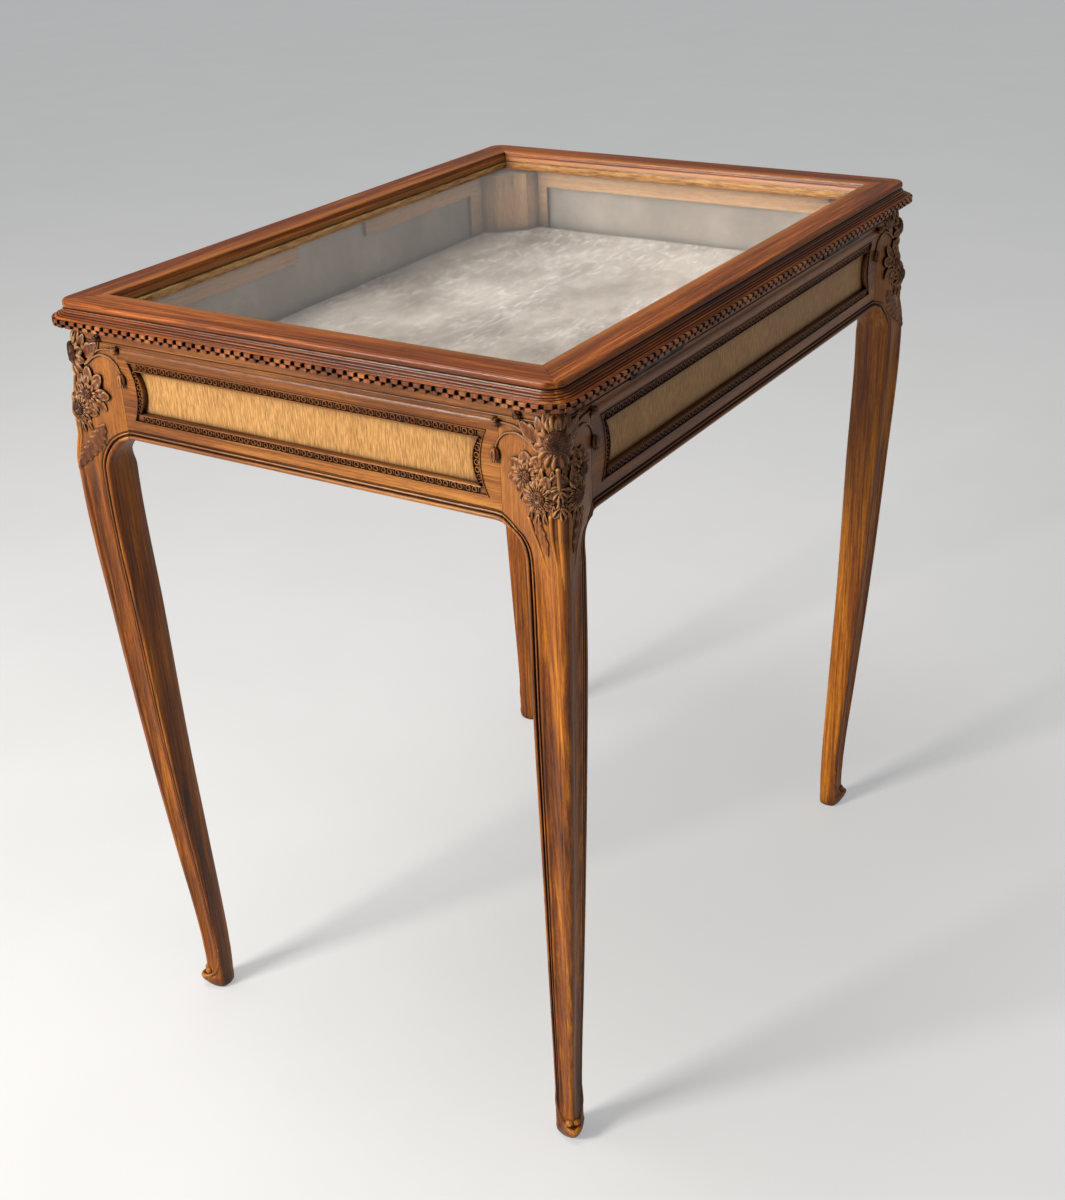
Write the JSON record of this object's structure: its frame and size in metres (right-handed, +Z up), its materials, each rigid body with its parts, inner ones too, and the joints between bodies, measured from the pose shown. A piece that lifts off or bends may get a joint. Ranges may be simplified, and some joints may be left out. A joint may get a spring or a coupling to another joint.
{
  "type": "collectors display table",
  "caption": "Carved display table: a shallow glazed case with a hinged lid on cabriole legs, for showing a collection under glass.",
  "frame": {"origin": "on the floor under the middle of the case", "axes": "+Z up, +X along the long sides, +Y towards the side that carries the lid's hinges"},
  "size_m": [0.722, 0.529, 0.76],
  "materials": {
    "walnut": "polished",
    "dark_walnut": "polished",
    "veneer": "polished",
    "plain_wood": "waxed",
    "silk": "woven",
    "velvet": "napped",
    "gilt": "gilt",
    "dark_iron": "darkened",
    "brass": "aged",
    "glass": "clear"
  },
  "bodies": {
    "case": {"leg_back_left": "walnut", "corner_post_back_left": "plain_wood", "leg_back_right": "walnut", "corner_post_back_right": "plain_wood", "leg_front_left": "walnut", "corner_post_front_left": "plain_wood", "leg_front_right": "walnut", "corner_post_front_right": "plain_wood", "apron_back": "walnut", "panel_back": "veneer", "top_rail_back": "walnut", "lining_back": "silk", "inner_frame_back": "plain_wood", "floor_bearer_back": "plain_wood", "apron_front": "walnut", "panel_front": "veneer", "top_rail_front": "walnut", "lining_front": "silk", "inner_frame_front": "plain_wood", "floor_bearer_front": "plain_wood", "apron_left": "walnut", "panel_left": "veneer", "top_rail_left": "walnut", "lining_left": "silk", "inner_frame_left": "plain_wood", "floor_bearer_left": "plain_wood", "apron_right": "walnut", "panel_right": "veneer", "top_rail_right": "walnut", "lining_right": "silk", "inner_frame_right": "plain_wood", "floor_bearer_right": "plain_wood", "floor_board": "plain_wood", "floor_pad": "velvet", "lock_case": "brass", "escutcheon": "brass", "hinge_leaf_lower_left": "dark_iron", "hinge_pin_left": "dark_iron", "hinge_leaf_lower_right": "dark_iron", "hinge_pin_right": "dark_iron"},
    "lid": {"lid_rail_back": "dark_walnut", "glazing_bead_back": "gilt", "lid_rail_front": "dark_walnut", "glazing_bead_front": "gilt", "lid_rail_left": "dark_walnut", "glazing_bead_left": "gilt", "lid_rail_right": "dark_walnut", "glazing_bead_right": "gilt", "glass_pane": "glass", "strike_plate": "brass", "hinge_leaf_upper_left": "dark_iron", "hinge_leaf_upper_right": "dark_iron"},
    "lock_bolt": {"lock_bolt": "brass"}
  },
  "joints": [
    {"name": "lid_hinge", "type": "hinge", "parent": "case", "child": "lid", "pos_m": [0, 0.2519, 0.733], "axis": [-1, 0, 0], "range_deg": [0, 95]},
    {"name": "bolt_slide", "type": "slide", "parent": "case", "child": "lock_bolt", "axis": [0, 0, 1], "range_m": [0, 0.005]}
  ]
}
